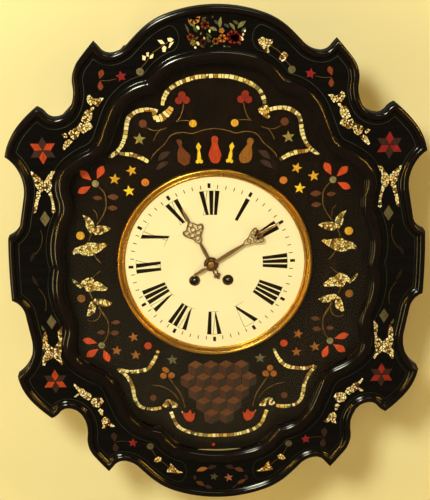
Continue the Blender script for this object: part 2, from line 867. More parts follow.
@dataclass
class Door:
    """The frieze board and its two mouldings, smooth along their whole length."""

    hole: float = 8.0
    rim_w: float = 12.0
    rim_rise: float = 4.4
    round_w: float = 20.0
    round_half: float = 6.3
    round_rise: float = 8.0
    lip_back: float = -110.6
    rebate: float = 8.2

    def board(self) -> None:
        """Builds the frieze board: the outline with the glass's hole, front, back and edges."""
        outer, inner = OUTLINE.moved(0.0), OPENING.moved(self.hole)
        sheet = np.array(tessellate_polygon([[Vector((*p, 0.0)) for p in loop]
                                             for loop in (outer, inner)]))
        flat = np.concatenate([outer, inner])
        n, m = len(outer), len(flat)
        edge = np.arange(m)
        beside = np.concatenate([np.roll(edge[:n], -1), np.roll(edge[n:], -1)])
        sides = np.column_stack([edge, beside, beside + m, edge + m])
        piece = Piece("frieze_board")
        piece.add(np.concatenate([at_depth(flat, Y_FRIEZE), at_depth(flat, Y_DOOR_BACK)]),
                  [sheet, sheet[:, ::-1] + m, sides])
        piece.finish(BLACK_WOOD, "door", "ebonised_wood", 30.0, ["frieze_frame"])

    @staticmethod
    def carried(name: str, line: WavyLine, way: float, profile: Array, wear: Array,
                node: str) -> None:
        """Carries a closed profile along a wavy line.

        Args:
            name: Name of the piece.
            line: Line that the profile follows.
            way: One if the profile's distances run outwards, minus one if inwards.
            profile: Rows of distance from the line, and y.
            wear: How much each row of the profile is rubbed.
            node: CAD node that the piece replaces.
        """
        rings = np.stack([at_depth(line.moved(way * far), y) for far, y in profile], 1)
        piece = Piece(name)
        piece.tube(rings, True, np.tile(wear, len(rings)))
        piece.finish(BLACK_WOOD, "door", "ebonised_wood", 34.0, [node])

    def rim(self) -> None:
        """Builds the rim: a bead 7.8 mm wide, a quirk, and a small cove down to the frieze.

        The bead's rise is a sine over its width, and the cove falls as the square of what is left.
        Rows of the profile are the distance in from the outline and the rise over the frieze.
        """
        t = np.linspace(0.0, math.pi, 15)
        foot, bead_half, cove_w = 1.5, 3.9, 3.0
        bead = np.column_stack([0.3 + bead_half * (1 - np.cos(t)),
                                foot + (self.rim_rise - foot) * np.sin(t)])
        s = np.linspace(0.0, 1.0, 7)
        cove = np.column_stack([self.rim_w - cove_w * (1 - s), 0.5 + foot * (1 - s) ** 2])
        rise = np.concatenate([[(0, 0), (0, 1.4)], bead, [(8.5, 1.2), (8.9, 1.2)], cove,
                               [(self.rim_w, 0)]])
        profile = np.column_stack([rise[:, 0], Y_FRIEZE - rise[:, 1]])
        self.carried("rim_bead", OUTLINE, -1.0, profile, rise[:, 1] / self.rim_rise, "rim_moulding")

    def half_round(self) -> None:
        """Builds the moulding round the glass: outer fillet, cove, half-round and inner lip.

        The half-round's rise is a sine over its width on a slope that runs up to the lip.
        """
        t = np.linspace(0.0, math.pi, 21)
        slope = np.linspace(3.0, 4.6, 21)
        hump = np.column_stack([self.round_w / 2 + self.round_half * np.cos(t),
                                slope + (self.round_rise - slope.mean()) * np.sin(t)])
        rise = np.concatenate([
            [(self.round_w, 0), (self.round_w, 1.6), (17.4, 1.9), (16.7, 2.2)], hump,
            [(3.2, 4.2), (2.4, 4), (0.8, 3.9), (0.2, 3.6), (0, 3.2)]])
        top = np.column_stack([rise[:, 0], Y_FRIEZE - rise[:, 1]])
        profile = np.concatenate([top, [(0, self.lip_back), (self.rebate, self.lip_back),
                                        (self.rebate, Y_FRIEZE)]])
        wear = np.concatenate([rise[:, 1] / self.round_rise, np.zeros(3)])
        self.carried("glass_half_round", OPENING, 1.0, profile, wear, "inner_moulding")

    def build(self) -> None:
        """Builds the whole door."""
        self.board()
        self.rim()
        self.half_round()


def disc(at: Sequence[float], radius: float, count: int = 20) -> Array:
    """Circle round a point."""
    return np.array(at) + radius * circle(count)


def star(at: Sequence[float], radius: float, points: int = 5, waist: float = 0.45,
         turn: float = 90.0) -> Array:
    """Star whose corners lie on two circles in turn.

    Args:
        at: Middle.
        radius: Reach of the tips.
        points: Number of tips.
        waist: Radius of the inner corners as a share of the tips'.
        turn: Direction of the first tip, in degrees.

    Returns:
        The star's corners.
    """
    a = np.radians(turn) + np.arange(2 * points) * math.pi / points
    reach = np.where(np.arange(2 * points) % 2 == 0, radius, radius * waist)
    return np.array(at) + reach[:, None] * np.column_stack([np.cos(a), np.sin(a)])


def along(start: Sequence[float], end: Sequence[float], widths: Sequence[float],
          bend: float = 0.0) -> Array:
    """Shape about a line from start to end.

    The half width at each share of the way is read off widths, and the middle bows sideways as a
    sine.

    Args:
        start: Where the shape begins.
        end: Where it ends.
        widths: Half widths at even shares of the way, smoothed between.
        bend: How far the middle bows to the left.

    Returns:
        The closed outline.
    """
    a, b = np.array(start, float), np.array(end, float)
    curve = smooth(np.column_stack([np.linspace(0, 1, len(widths)), widths]), 5)
    share, half = curve[:, 0], np.maximum(curve[:, 1], 0.0)
    left = np.array([-(b - a)[1], (b - a)[0]]) / np.linalg.norm(b - a)
    spine = a + share[:, None] * (b - a) + (bend * np.sin(math.pi * share))[:, None] * left
    return np.concatenate([spine + half[:, None] * left, (spine - half[:, None] * left)[-2:0:-1]])


def leaf(start: Sequence[float], end: Sequence[float], width: float, bend: float = 0.0) -> Array:
    """Leaf pointed at both ends."""
    return along(start, end, [0.0, 0.36 * width, 0.5 * width, 0.34 * width, 0.0], bend)


def drop(start: Sequence[float], end: Sequence[float], width: float) -> Array:
    """Petal pointed at its start and round at its end."""
    return along(start, end, [0.0, 0.2 * width, 0.4 * width, 0.5 * width, 0.38 * width, 0.0])


def band(points: Points, width: float) -> Array:
    """Makes a strip of even width along a curve.

    Args:
        points: Points of its middle.
        width: Its width.

    Returns:
        The closed outline.
    """
    line = smooth(points, 6)
    side = normals(line) * width / 2
    return np.concatenate([line + side, (line - side)[::-1]])


def part_of(shape: Array, at: Array, way: Array) -> Array:
    """The part of a polygon on the side of a line that way points to.

    Args:
        shape: Closed polygon.
        at: Point on the line.
        way: Normal of the line.

    Returns:
        Corners of the part, in order.
    """
    depth = (shape - at) @ way
    after, inside = np.roll(depth, -1), depth >= 0
    step = np.roll(shape, -1, axis=0) - shape
    share = depth / np.where(depth == after, 1.0, depth - after)
    met = shape + share[:, None] * step
    wanted = np.stack([inside, inside != np.roll(inside, -1)], 1)
    return np.stack([shape, met], 1)[wanted]


def area(shape: Array) -> float:
    """Area of a polygon."""
    return abs(float(cross(shape, np.roll(shape, -1, axis=0)).sum())) / 2 if len(shape) > 2 else 0.0


def crackled(shape: Array, size: float, rng: np.random.Generator, skew: float = 38.0,
             shift: float = 0.2, sliver: float = 0.3) -> list[Array]:
    """Breaks a polygon into chips, cutting each across its long way.

    Args:
        shape: Polygon to break.
        size: Rough size of a chip.
        rng: Source of the random cuts.
        skew: Largest angle of a cut off square, in degrees.
        shift: Largest distance of a cut from the middle, in sizes.
        sliver: Least area of a chip.

    Returns:
        The chips.
    """
    if area(shape) < size * size * 1.3:
        return [shape]
    middle = shape.mean(axis=0)
    long_way = np.linalg.svd(shape - middle, full_matrices=False)[2][0]
    way = turned(long_way[None], rng.uniform(-skew, skew))[0]
    at = middle + long_way * rng.uniform(-shift, shift) * size
    halves = [part_of(shape, at, way), part_of(shape, at, -way)]
    if min(map(area, halves)) < sliver:
        return [shape]
    return [chip for half in halves for chip in crackled(half, size, rng)]


class Shell(Enum):
    """Layers of shell in one piece of work: cream and white, with smoke and rust between."""

    BRIGHT = ("#fff6d8", "#f2dca4", "#fffdf0", "#d8b878", "#8a6238", "#e8ccb0", "#e6ecba",
              "#fbeec2", "#c9a870", "#5c3a22")
    WARM = ("#fbeaa8", "#dcb25c", "#9c7430", "#5c421c", "#fff8d4", "#c4b068", "#946e34", "#f4e2a0",
            "#7e7c48", "#fff2c4", "#fdeeb4")
    GOLD = ("#f6dc92", "#d99f3c", "#fff0c0", "#b06c24", "#ecc468", "#f8e8b0")


@dataclass
class Marquetry:
    """Inlays let into one flat ground, gathered by what they are cut from."""

    prefix: str
    body: str
    slot: str
    ground: float
    layers: Shell
    seed: int
    proud: float = 0.16
    sunk: float = 0.1
    tilt: float = 0.05
    least_reach: float = 1.2
    least_area: float = 0.6
    joint: float = 0.22
    uneven: Sequence[float] = (0.6, 1.4)
    chip_run: Sequence[float] = (3.0, 7.0)
    chip_width: Sequence[float] = (0.86, 1.04)
    split_share: float = 0.4
    split_size: float = 3.4
    shrunk: float = 0.92
    pieces: dict[str, Piece] = field(default_factory=dict)

    def __post_init__(self) -> None:
        """Starts the seeded draw for the chips."""
        self.rng = np.random.default_rng(self.seed)

    def lay(self, kind: str, shape: Array, tint: str, tilt: float = 0.0) -> None:
        """Lays one flat plate into the ground, standing proud by a hair.

        Args:
            kind: Which piece it joins: woods, pearl, pewter or wires.
            shape: Closed outline.
            tint: Hex colour.
            tilt: Largest slope of its face.
        """
        shape = shape[np.linalg.norm(np.roll(shape, -1, axis=0) - shape, axis=1) > 1e-3]
        slope = self.rng.uniform(-tilt, tilt, 2) if tilt else np.zeros(2)
        lean = (shape - shape.mean(axis=0)) @ slope
        piece = self.pieces.setdefault(kind, Piece(f"{self.prefix}_{kind}"))
        piece.plate(shape, self.ground - self.proud + lean, self.ground + self.sunk,
                    np.tile(linear(tint), (2 * len(shape), 1)))

    def wood(self, shape: Array, dye: Dye) -> None:
        """Lays a plate of dyed veneer."""
        self.lay("woods", shape, dye.value)

    def layer(self) -> str:
        """Draws the colour of one chip of shell."""
        return self.layers.value[self.rng.integers(len(self.layers.value))]

    def shell(self, shape: Points, size: float = 3.6, joint: float = 0.9) -> None:
        """Lays a shape of mother-of-pearl in chips with dark joints.

        Args:
            shape: Closed outline.
            size: Rough size of a chip.
            joint: Width of a joint.
        """
        for chip in crackled(np.asarray(shape, float), size, self.rng):
            middle = chip.mean(axis=0)
            reach = max(math.sqrt(area(chip)), self.least_reach)
            inner = middle + (chip - middle) * (1 - joint * self.rng.uniform(*self.uneven) / reach)
            if area(inner) > self.least_area:
                self.lay("pearl", inner, self.layer(), self.tilt)

    def ribbon(self, points: Points, width: float, ends: float = 0.7) -> None:
        """Lays a ribbon of mother-of-pearl: a row of chips 3 to 7 mm long, some of them split.

        Args:
            points: Curve of the ribbon's middle.
            width: Width at the middle of its length.
            ends: Width at both ends, as a share of that.
        """
        line = even(smooth(points), 200)
        far = lengths(line)
        at, side = 0.0, normals(line)
        while at < far[-1] - 1.0:
            end = min(at + self.rng.uniform(*self.chip_run), far[-1])
            share = np.linspace(at + self.joint, end - self.joint, 4)
            spine = np.column_stack([np.interp(share, far, line[:, k]) for k in (0, 1)])
            way = np.column_stack([np.interp(share, far, side[:, k]) for k in (0, 1)])
            swell = ends + (1 - ends) * np.sin(math.pi * share / far[-1])[:, None] ** 0.5
            half = width / 2 * self.rng.uniform(*self.chip_width) * swell
            chip = np.concatenate([spine + way * half, (spine - way * half)[::-1]])
            split = self.rng.random() < self.split_share
            for part in crackled(chip, self.split_size, self.rng) if split else [chip]:
                middle = part.mean(axis=0)
                self.lay("pearl", middle + (part - middle) * self.shrunk, self.layer(), self.tilt)
            at = end

    def wire(self, points: Points, width: float = 1.0) -> None:
        """Lays a thin brass wire on edge along a curve."""
        self.lay("wires", band(points, width), "#ffffff")

    def pewter(self, shape: Array) -> None:
        """Lays a plate of pewter."""
        self.lay("pewter", shape, "#ffffff")

    def finish(self) -> None:
        """Makes one piece of each kind laid."""
        finishes = {"woods": DYED, "pearl": PEARL, "pewter": PEWTER, "wires": BRASS_WIRE}
        for kind, piece in self.pieces.items():
            piece.finish(finishes[kind], self.body, self.slot, 20.0)


def sided(points: Points, x: float = 1.0, centre: float = 0.0) -> Array:
    """Puts points of the right side on either side.

    The panel's inlay was cut a little out of true: its upper part mirrors about the centre given,
    its part below z of -150 about the middle.

    Args:
        points: Points of the right side.
        x: One for the right side, minus one for the left.
        centre: What the upper part mirrors about.

    Returns:
        The points on their side.
    """
    shape = np.asarray(points, float)
    if x > 0:
        return shape
    about = np.interp(shape[:, 1], [-155.0, -140.0], [0.0, centre])
    return np.column_stack([2 * about - shape[:, 0], shape[:, 1]])


Side = Callable[[Points], Array]
# Shapes of the frieze's right side, in mm from the front's middle, measured against the photo
BUD_SHELLS = (
    [(51.5, 294), (58, 298), (64, 295), (72, 294.5), (69.5, 288), (65, 285), (67, 279), (64, 277),
     (59.5, 282), (55, 287)],
    [(85, 280), (90.5, 275), (86.6, 268.4), (82, 266), (77.5, 271), (81, 276)])
BUD_PETALS = (
    [(58.7, 293.6), (59.7, 297.6), (55.2, 298.1), (51.9, 295.8), (54.7, 293)],
    [(72, 295.5), (66.5, 295.4), (62.6, 290.9), (67.7, 290.4)],
    [(63.8, 288.6), (61, 286.4), (62.3, 280.7), (65.7, 280.8), (66.7, 285.3)],
    [(56.4, 291.9), (51.4, 293), (56.6, 286.3), (58.8, 285.2)],
    [(86, 280), (82.8, 280.5), (83.3, 275), (85.8, 275.6)],
    [(91, 277), (86.5, 275.4), (87.6, 270.5), (91, 271.2)],
    [(82.5, 275.4), (77, 278.9), (77.9, 273.8), (81.6, 272)])
UPPER_SHELLS = (
    [(162.6, 223.3), (161, 226.8), (158, 228.8), (155, 226), (153, 223.8), (149.4, 223),
     (145, 225), (139.7, 224.3), (142.5, 221.6), (144.4, 218), (147.7, 213.2), (151, 214),
     (154.5, 216.8), (156.7, 214), (159.4, 216.2), (161.3, 219.7)],
    [(156.7, 213.3), (152.2, 213.3), (153.4, 209.7), (156.3, 207.3), (158.2, 209.8)],
    [(163, 210), (158, 209.8), (155.3, 206), (155.8, 200.6), (158, 195), (161.7, 193), (165, 192),
     (170.6, 195.8), (168.4, 200), (167.2, 204.3), (164.6, 207)],
    [(172, 193.7), (167.3, 191.5), (161.7, 193), (158.6, 193.2), (156.2, 190), (155.7, 186.4),
     (162, 182.2), (167, 178.7), (171.2, 181), (172.5, 185), (173.7, 189)],
    [(181, 185), (175, 188.8), (172.4, 186), (171.2, 182.3), (173.5, 176.6), (175.8, 173),
     (180, 171), (184, 174), (187.3, 179.7), (185, 183.3)],
    [(195.8, 178.4), (190.8, 180.5), (188.8, 179), (187.5, 175.4), (189.8, 172.6), (193, 174.8)],
    [(191.3, 169.8), (186.3, 172.6), (180.8, 169.6), (185, 165), (188.8, 161.8), (192.5, 158),
     (195.5, 160), (193.6, 165.5)],
    [(205, 132), (211, 131), (216, 124), (221, 117), (221, 107), (217, 102), (212, 106),
     (210, 112), (211, 119), (208, 125)],
    [(221, 118), (226, 124), (231, 128), (236, 132), (237, 129), (233, 120), (232, 112),
     (228, 106), (225, 102), (221, 107)],
    [(212, 106), (216, 101), (213, 94), (212, 85), (213, 78), (210, 74.5), (207, 77), (208, 84),
     (209, 92), (210, 99)],
    [(226, 104), (230, 106), (232, 97), (234, 88), (235, 80), (236, 75), (232, 77), (230, 84),
     (228, 93), (225, 99)])
LOWER_SHELLS = (
    [(205.6, -79), (212.5, -87), (212.3, -96), (210.5, -103), (207, -101), (206.8, -90.6)],
    [(228.4, -85.7), (232.7, -92), (233, -103.6), (227.3, -106), (225.5, -100), (227, -91)],
    [(208, -103), (212, -101.4), (219, -110.5), (219.5, -125), (213, -130), (209.8, -136.5),
     (207, -133), (210.3, -124.7), (208.3, -114)],
    [(219, -110.5), (226.4, -104.4), (233, -103.6), (234, -111), (231, -118), (234.7, -125),
     (235, -136), (231.6, -136), (228, -128.7), (219.5, -125)],
    [(178, -175), (182, -170), (188, -168), (191, -171), (188, -176), (187, -180), (182, -184),
     (176, -188), (170, -184), (172, -178)],
    [(187, -169), (194, -162), (195, -165), (191, -172)],
    [(188, -177), (191, -177), (196, -182), (192, -183), (188, -180)],
    [(165, -183), (158, -184), (155, -190), (159, -196), (163, -199), (170, -197), (173, -191),
     (171, -185)],
    [(160, -199), (156, -203), (157, -211), (161, -209), (164, -203)],
    [(155, -212), (149, -215), (147, -221), (141, -227), (147, -228), (151, -225), (155, -229),
     (160, -230), (158, -224), (160, -218), (157, -213)])
GOLD_SHELLS = (
    [(79, -276), (84, -273), (88, -276), (91, -281), (86, -283), (81, -281)],
    [(50, -299), (57, -295), (62, -291), (65, -286), (68, -284), (68.5, -290), (73, -294),
     (73, -298), (66, -298.5), (60, -300)])
# Leaves: start, end, width and dye. Flowers: middle, reach, dyes of petals and heart, petals
TOP_LEAVES = (
    ((5.4, 309), (6.8, 323), 4.6, Dye.SAGE), ((17, 315.5), (24, 306), 3.8, Dye.SAGE),
    ((27, 308.5), (37.5, 317.5), 5.2, Dye.SAGE), ((-7.5, 310), (2, 306), 4.4, Dye.SAGE),
    ((-33, 316), (-25, 311), 3.8, Dye.SAGE), ((-28, 311), (-22.5, 304), 4.2, Dye.LEAF),
    ((-38, 315), (-32.5, 302), 2.6, Dye.OLIVE), ((-17, 318), (-11, 323), 3.6, Dye.OLIVE),
    ((-2, 319), (3, 313), 3.2, Dye.SMOKE), ((10, 314), (17, 309.5), 3.6, Dye.SMOKE),
    ((21, 318), (29, 312.5), 3.8, Dye.OLIVE), ((-12, 303), (-5, 297), 3.4, Dye.LEAF),
    ((-11, 300), (-9, 291), 3.0, Dye.LEAF), ((9.5, 288), (14, 279), 3.6, Dye.SAGE),
    ((14, 287), (20, 281), 3.6, Dye.OLIVE), ((3, 285), (10, 281.5), 2.8, Dye.SAGE),
    ((-21, 299), (-27, 296), 3.0, Dye.OLIVE), ((-20, 288), (-13, 284), 2.8, Dye.OLIVE),
    ((32, 304), (38, 309), 3.4, Dye.SMOKE), ((-3, 289), (-9, 284), 3.0, Dye.LEAF))
TOP_FLOWERS = (
    ((-26.7, 322), 8.2, Dye.PEACH, Dye.FLAME, 7), ((-13, 313.5), 5.6, Dye.RUST, Dye.DEEP_RED, 6),
    ((7.5, 306), 3.4, Dye.PEACH, None, 5), ((-31, 298.4), 4.6, Dye.RUST, Dye.RED, 5),
    ((-28, 291.6), 3.8, Dye.STRAW, None, 5), ((0, 293), 4.4, Dye.TOBACCO, Dye.RUST, 6),
    ((8.3, 296.5), 5.2, Dye.ORANGE, Dye.FLAME, 6), ((21.5, 298), 8.6, Dye.DEEP_RED, Dye.WINE, 8),
    ((27, 296), 5.6, Dye.RED, Dye.DEEP_RED, 6), ((-15.5, 292), 4.2, Dye.WINE, Dye.RUST, 6))
TOP_BUDS = (
    (-21.7, 310), (-22, 290.6), (-25.2, 285), (-25, 280.5), (-18.2, 302.8), (-7.4, 305.8),
    (-14.2, 296.5), (-7, 293.4), (-3.6, 323), (32.2, 296), (29.5, 290.5), (34, 301), (36, 306))
BOTTOM_LEAVES = (
    ((-32, -297), (-16, -293), 6.5, Dye.TOBACCO), ((-17, -294), (-4, -290), 6.0, Dye.UMBER),
    ((-33, -313), (-21, -320), 6.0, Dye.BROWN), ((-21, -319), (-10, -327), 6.0, Dye.UMBER),
    ((8, -290), (20, -294.5), 6.0, Dye.UMBER), ((20, -294), (33, -299), 6.5, Dye.BROWN),
    ((23, -319), (37, -311), 5.0, Dye.BROWN), ((34, -304), (38, -312), 4.0, Dye.UMBER),
    ((-36, -303), (-34, -311), 4.0, Dye.UMBER))


@dataclass
class FriezeInlay:
    """Inlays of the wavy frieze: string lines, stars, buds, butterflies and the two bouquets.

    Most shapes are given for the right side and mirrored.
    """

    line_w: float = 0.9
    line_proud: float = 0.14
    outer_line: float = 13.4
    inner_line: float = 23.8
    break_x: float = 56.0
    cap: float = 0.72
    lozenge: float = 0.28
    fine_wire: float = 0.6
    work: Marquetry = field(default_factory=lambda: Marquetry(
        "frieze", "door", "ebonised_wood", Y_FRIEZE, Shell.BRIGHT, seed=11))

    def string_lines(self) -> None:
        """Lays the grey string that runs round each half of the frieze and closes at its ends.

        An end is half an ellipse about the middle of the gap between the two lines.
        """
        loops = OUTLINE.moved(-self.outer_line), OPENING.moved(self.inner_line)
        t = np.linspace(0.0, math.pi, 13)[1:-1, None]
        for side, name in ((1.0, "right"), (-1.0, "left")):
            parts = []
            for loop in loops:
                part = loop[loop[:, 0] * side > self.break_x]
                steps = np.linalg.norm(np.diff(part, axis=0), axis=1)
                if steps.max() > self.break_x:
                    part = np.roll(part, -(int(np.argmax(steps)) + 1), axis=0)
                parts.append(part if part[0, 1] > part[-1, 1] else part[::-1])
            caps = []
            for a, b in ((parts[0][-1], parts[1][-1]), (parts[1][0], parts[0][0])):
                middle, reach = (a + b) / 2, np.linalg.norm(a - b) / 2
                caps.append(middle + (a - middle) * np.cos(t)
                            - np.array([side, 0.0]) * reach * self.cap * np.sin(t))
            loop = np.concatenate([parts[0], caps[0], parts[1][::-1], caps[1]])
            self.closed_line(loop, f"frieze_string_{name}")

    def closed_line(self, loop: Array, name: str) -> None:
        """Makes a thin flat line along a closed loop as one piece.

        Args:
            loop: Points of the closed loop.
            name: Name of the piece.
        """
        side = normals(np.concatenate([loop[-1:], loop, loop[:1]]))[1:-1] * self.line_w / 2
        front, back = Y_FRIEZE - self.line_proud, Y_FRIEZE + self.work.sunk
        corners = ((1, front), (-1, front), (-1, back), (1, back))
        piece = Piece(name)
        piece.tube(np.stack([at_depth(loop + s * side, y) for s, y in corners], 1), True)
        piece.finish(STRING, "door", "ebonised_wood", 40.0)

    def six_star(self, at: Sequence[float], radius: float, turn: float, dye: Dye) -> None:
        """Lays a star of six lozenges, every second one red and the others umber.

        Args:
            at: Middle.
            radius: Reach of the tips.
            turn: Direction of the first red lozenge, in degrees.
            dye: Dye of the red ones.
        """
        half = radius * self.lozenge
        shape = np.array([(0.6, 0), (radius / 2, half), (radius, 0), (radius / 2, -half)])
        for k in range(6):
            place = turned(shape, turn + 60 * k) + np.array(at)
            self.work.wood(place, Dye.UMBER if k % 2 else dye)

    def buds(self, side: Side, x: float) -> None:
        """Lays two buds beside the top flowers: mosaics on the right, split petals on the left.

        Args:
            side: Puts a shape on the left or right.
            x: One for the right side, minus one for the left.
        """
        work = self.work
        if x > 0:
            for shape in BUD_SHELLS:
                work.shell(side(shape), size=3.4, joint=0.8)
        else:
            for petal in BUD_PETALS:
                work.lay("pearl", side(petal), work.layers.value[0], work.tilt)
        work.wire(side([(59, 292), (64, 290), (72, 284), (79, 279), (86, 269), (93, 261)]))
        work.pewter(side(disc((94.5, 256.5), 4.7)))

    def upper(self, side: Side, x: float) -> None:
        """Lays the upper half of one side, from the bouquet round to the middle.

        Args:
            side: Puts a shape on the left or right.
            x: One for the right side, minus one for the left.
        """
        work = self.work
        self.buds(side, x)
        for shape in UPPER_SHELLS:
            work.shell(side(shape))
        work.wood(side(star((118, 251), 7.0, 5, 0.5, 80)), Dye.CRIMSON)
        work.wire(side([(124, 248), (134, 246), (144, 246)]), self.fine_wire)
        work.wood(side(drop((145, 248), (141, 260), 7.0)), Dye.RUST)
        work.wood(side(drop((144.5, 246), (144, 233.5), 6.8)), Dye.RUST)
        self.six_star((220 * x, 158), 18.0, *((90.0, Dye.CRIMSON) if x > 0 else (30.0, Dye.RED)))
        work.pewter(side([(221.3, 78.6), (228, 68), (221.7, 57.5), (215, 68)]))
        work.wire(side([(228, 53), (226.2, 44.8), (227.5, 34.5), (232.2, 25), (237.3, 19)]),
                  self.fine_wire)
        work.wood(side(leaf((235, 24), (243, 10), 4.5, 1.0)), Dye.DARK)

    def lower(self, side: Side, x: float) -> None:
        """Lays the lower half of one side, from the middle round to the bottom.

        Args:
            side: Puts a shape on the left or right.
            x: One for the right side, minus one for the left.
        """
        work = self.work
        work.wood(side(leaf((234, -24), (242, -8), 4.5, -1.0)), Dye.DARK)
        work.wire(side([(234.7, -26.3), (229.2, -34.6), (226.2, -43.2), (226, -52),
                        (227, -57.7)]), self.fine_wire)
        work.pewter(side([(219.8, -64), (226.3, -73.5), (220, -84), (213.5, -73.5)]))
        for shape in LOWER_SHELLS:
            work.shell(side(shape))
        work.pewter(side([(229, -84), (233.5, -78), (233, -84), (230.4, -86)]))
        self.six_star((219 * x, -159), 17.0, 90.0, Dye.RED if x < 0 else Dye.DEEP_RED)
        work.wood(side(drop((143, -250), (143.5, -236), 8.0)), Dye.UMBER)
        work.wood(side(drop((142.5, -251), (141, -265), 8.0)), Dye.UMBER)
        work.wood(side(star((118, -252), 6.6, 5, 0.5, 96)), Dye.CRIMSON)
        work.wire(side([(124, -250), (133, -249), (141, -250)]), self.fine_wire)
        work.pewter(side(disc((94.5, -258), 4.7)))
        work.wire(side([(93, -262), (90, -268), (87, -273)]))
        work.wire(side([(81, -280), (75, -285), (70, -290)]))
        work.layers = Shell.GOLD
        for shape in GOLD_SHELLS:
            work.shell(side(shape), size=3.4)
        work.layers = Shell.BRIGHT

    def flower(self, at: Sequence[float], reach: float, dye: Dye, heart: Dye | None,
               petals: int) -> None:
        """Lays an open flower of broad petals, a little wider than their share, round a heart.

        Args:
            at: Middle.
            reach: Reach of the petals.
            dye: Dye of the petals.
            heart: Dye of the heart, or None to leave it out.
            petals: Number of petals.
        """
        middle = np.array(at, float)
        width = 1.9 * reach * math.sin(math.pi / petals) * 1.1
        for k in range(petals):
            a = 2 * math.pi * k / petals + at[0]
            tip = middle + reach * np.array([math.cos(a), math.sin(a)])
            self.work.wood(drop(middle, tip, width), dye)
        if heart:
            self.work.wood(disc(at, reach * 0.36, 12), heart)

    def top_flowers(self) -> None:
        """Lays the flowers at the top middle: leaves, roses low and right, pale buds round them."""
        work, rng = self.work, np.random.default_rng(5)
        for start, end, width, dye in TOP_LEAVES:
            work.wood(leaf(start, end, width, 0.6), dye)
        for row in TOP_FLOWERS:
            self.flower(*row)
        for at in TOP_BUDS:
            reach = rng.uniform(1.2, 2.2)
            bud = turned(disc((0, 0), reach, 5) * np.array([1.5, 0.9]), 60 * reach)
            work.lay("pearl", bud + at, work.layer(), work.tilt)

    def bottom_stars(self) -> None:
        """Lays the two stars at the bottom middle between brown leaves."""
        work = self.work
        work.wood(star((-7.8, -306), 6.0, 5, 0.45, 80), Dye.OLIVE)
        work.wood(star((12.3, -308), 6.3, 5, 0.45, 100), Dye.TAN)
        for start, end, width, dye in BOTTOM_LEAVES:
            work.wood(leaf(start, end, width, 0.8), dye)
        work.wire([(16, -325), (20, -322), (26, -317)], 0.8)
        work.wood(disc((16.2, -327.2), 3.2, 14), Dye.ORANGE)
        work.shell(disc((16.4, -327.4), 2.3, 8), size=3.0)

    def build(self) -> None:
        """Builds every inlay of the frieze."""
        self.string_lines()
        for x in (1.0, -1.0):
            side = partial(sided, x=x)
            self.upper(side, x)
            self.lower(side, x)
        self.top_flowers()
        self.bottom_stars()
        self.work.finish()


# Shapes of the panel's right side, in mm from the front's middle
PANEL_CENTRE = -3.0
RIBBONS = {
    "top": [(PANEL_CENTRE, 247.7), (10.4, 247.3), (21.7, 245.8), (34.2, 241.8), (43, 237.9),
        (51.9, 232), (57.5, 225), (60.7, 217), (61.8, 210.5)],
    "shoulder": [(67.7, 203.7), (74.7, 205.5), (83.6, 206), (93.7, 204), (101.4, 199.3),
        (106, 193.4), (108, 184.3), (109.3, 175), (112, 166), (116, 158), (121, 152.8)],
    "hook": [(118, 150.2), (112, 149), (103.2, 148), (94.2, 145.4), (86.5, 141.5), (80.8, 137.7)],
    "bottom": [(0, -249), (16, -248.8), (30, -246.5), (41, -243), (50, -239), (58, -231.5),
        (62, -222), (65.5, -212)],
    "step": [(78, -206), (87, -207.5), (98, -207)],
    "side": [(100, -206.5), (107, -203), (112, -197), (114.5, -188), (116, -177), (119, -167),
        (125, -157), (133, -147.5)],
    "low_hook": [(130, -148.8), (117, -152), (103, -151), (92, -148), (84, -141), (78, -131),
        (74.5, -122)]}
KNOT = [(59.5, 209.6), (64.5, 209.5), (69, 205.6), (67.1, 201.1), (68.4, 194), (65.9, 191.4),
        (59.5, 195.4), (55, 199.4), (52.5, 204), (55.7, 206.4)]
CORNER = [(118.5, 156), (126.2, 151.8), (133, 144.5), (127.6, 143.8), (121, 148), (116.8, 151)]
LOW_KNOT = (
    [(55, -206), (57, -200), (62, -196), (66, -200), (63, -207)],
    [(62, -196), (69, -193), (74, -196), (71, -201), (66, -200)],
    [(68, -201), (75, -198), (77, -203), (73, -206), (68, -205)])
LEAF_STEMS = (
    [(157.2, 44), (160, 37.7), (160.7, 33.2)],
    [(155.6, 15), (151.3, 8), (146.5, 2.4)],
    [(148.3, -8), (153.9, -12.8), (158.4, -17)],
    [(163.2, -37.5), (160.6, -43.3), (159.5, -47)],
    [(152.5, -59), (145, -69), (140.6, -78.3), (139.6, -88), (140.3, -96)],
    [(150, -64), (151, -71), (155, -76.3), (161.8, -78.2), (167.4, -76.5)])
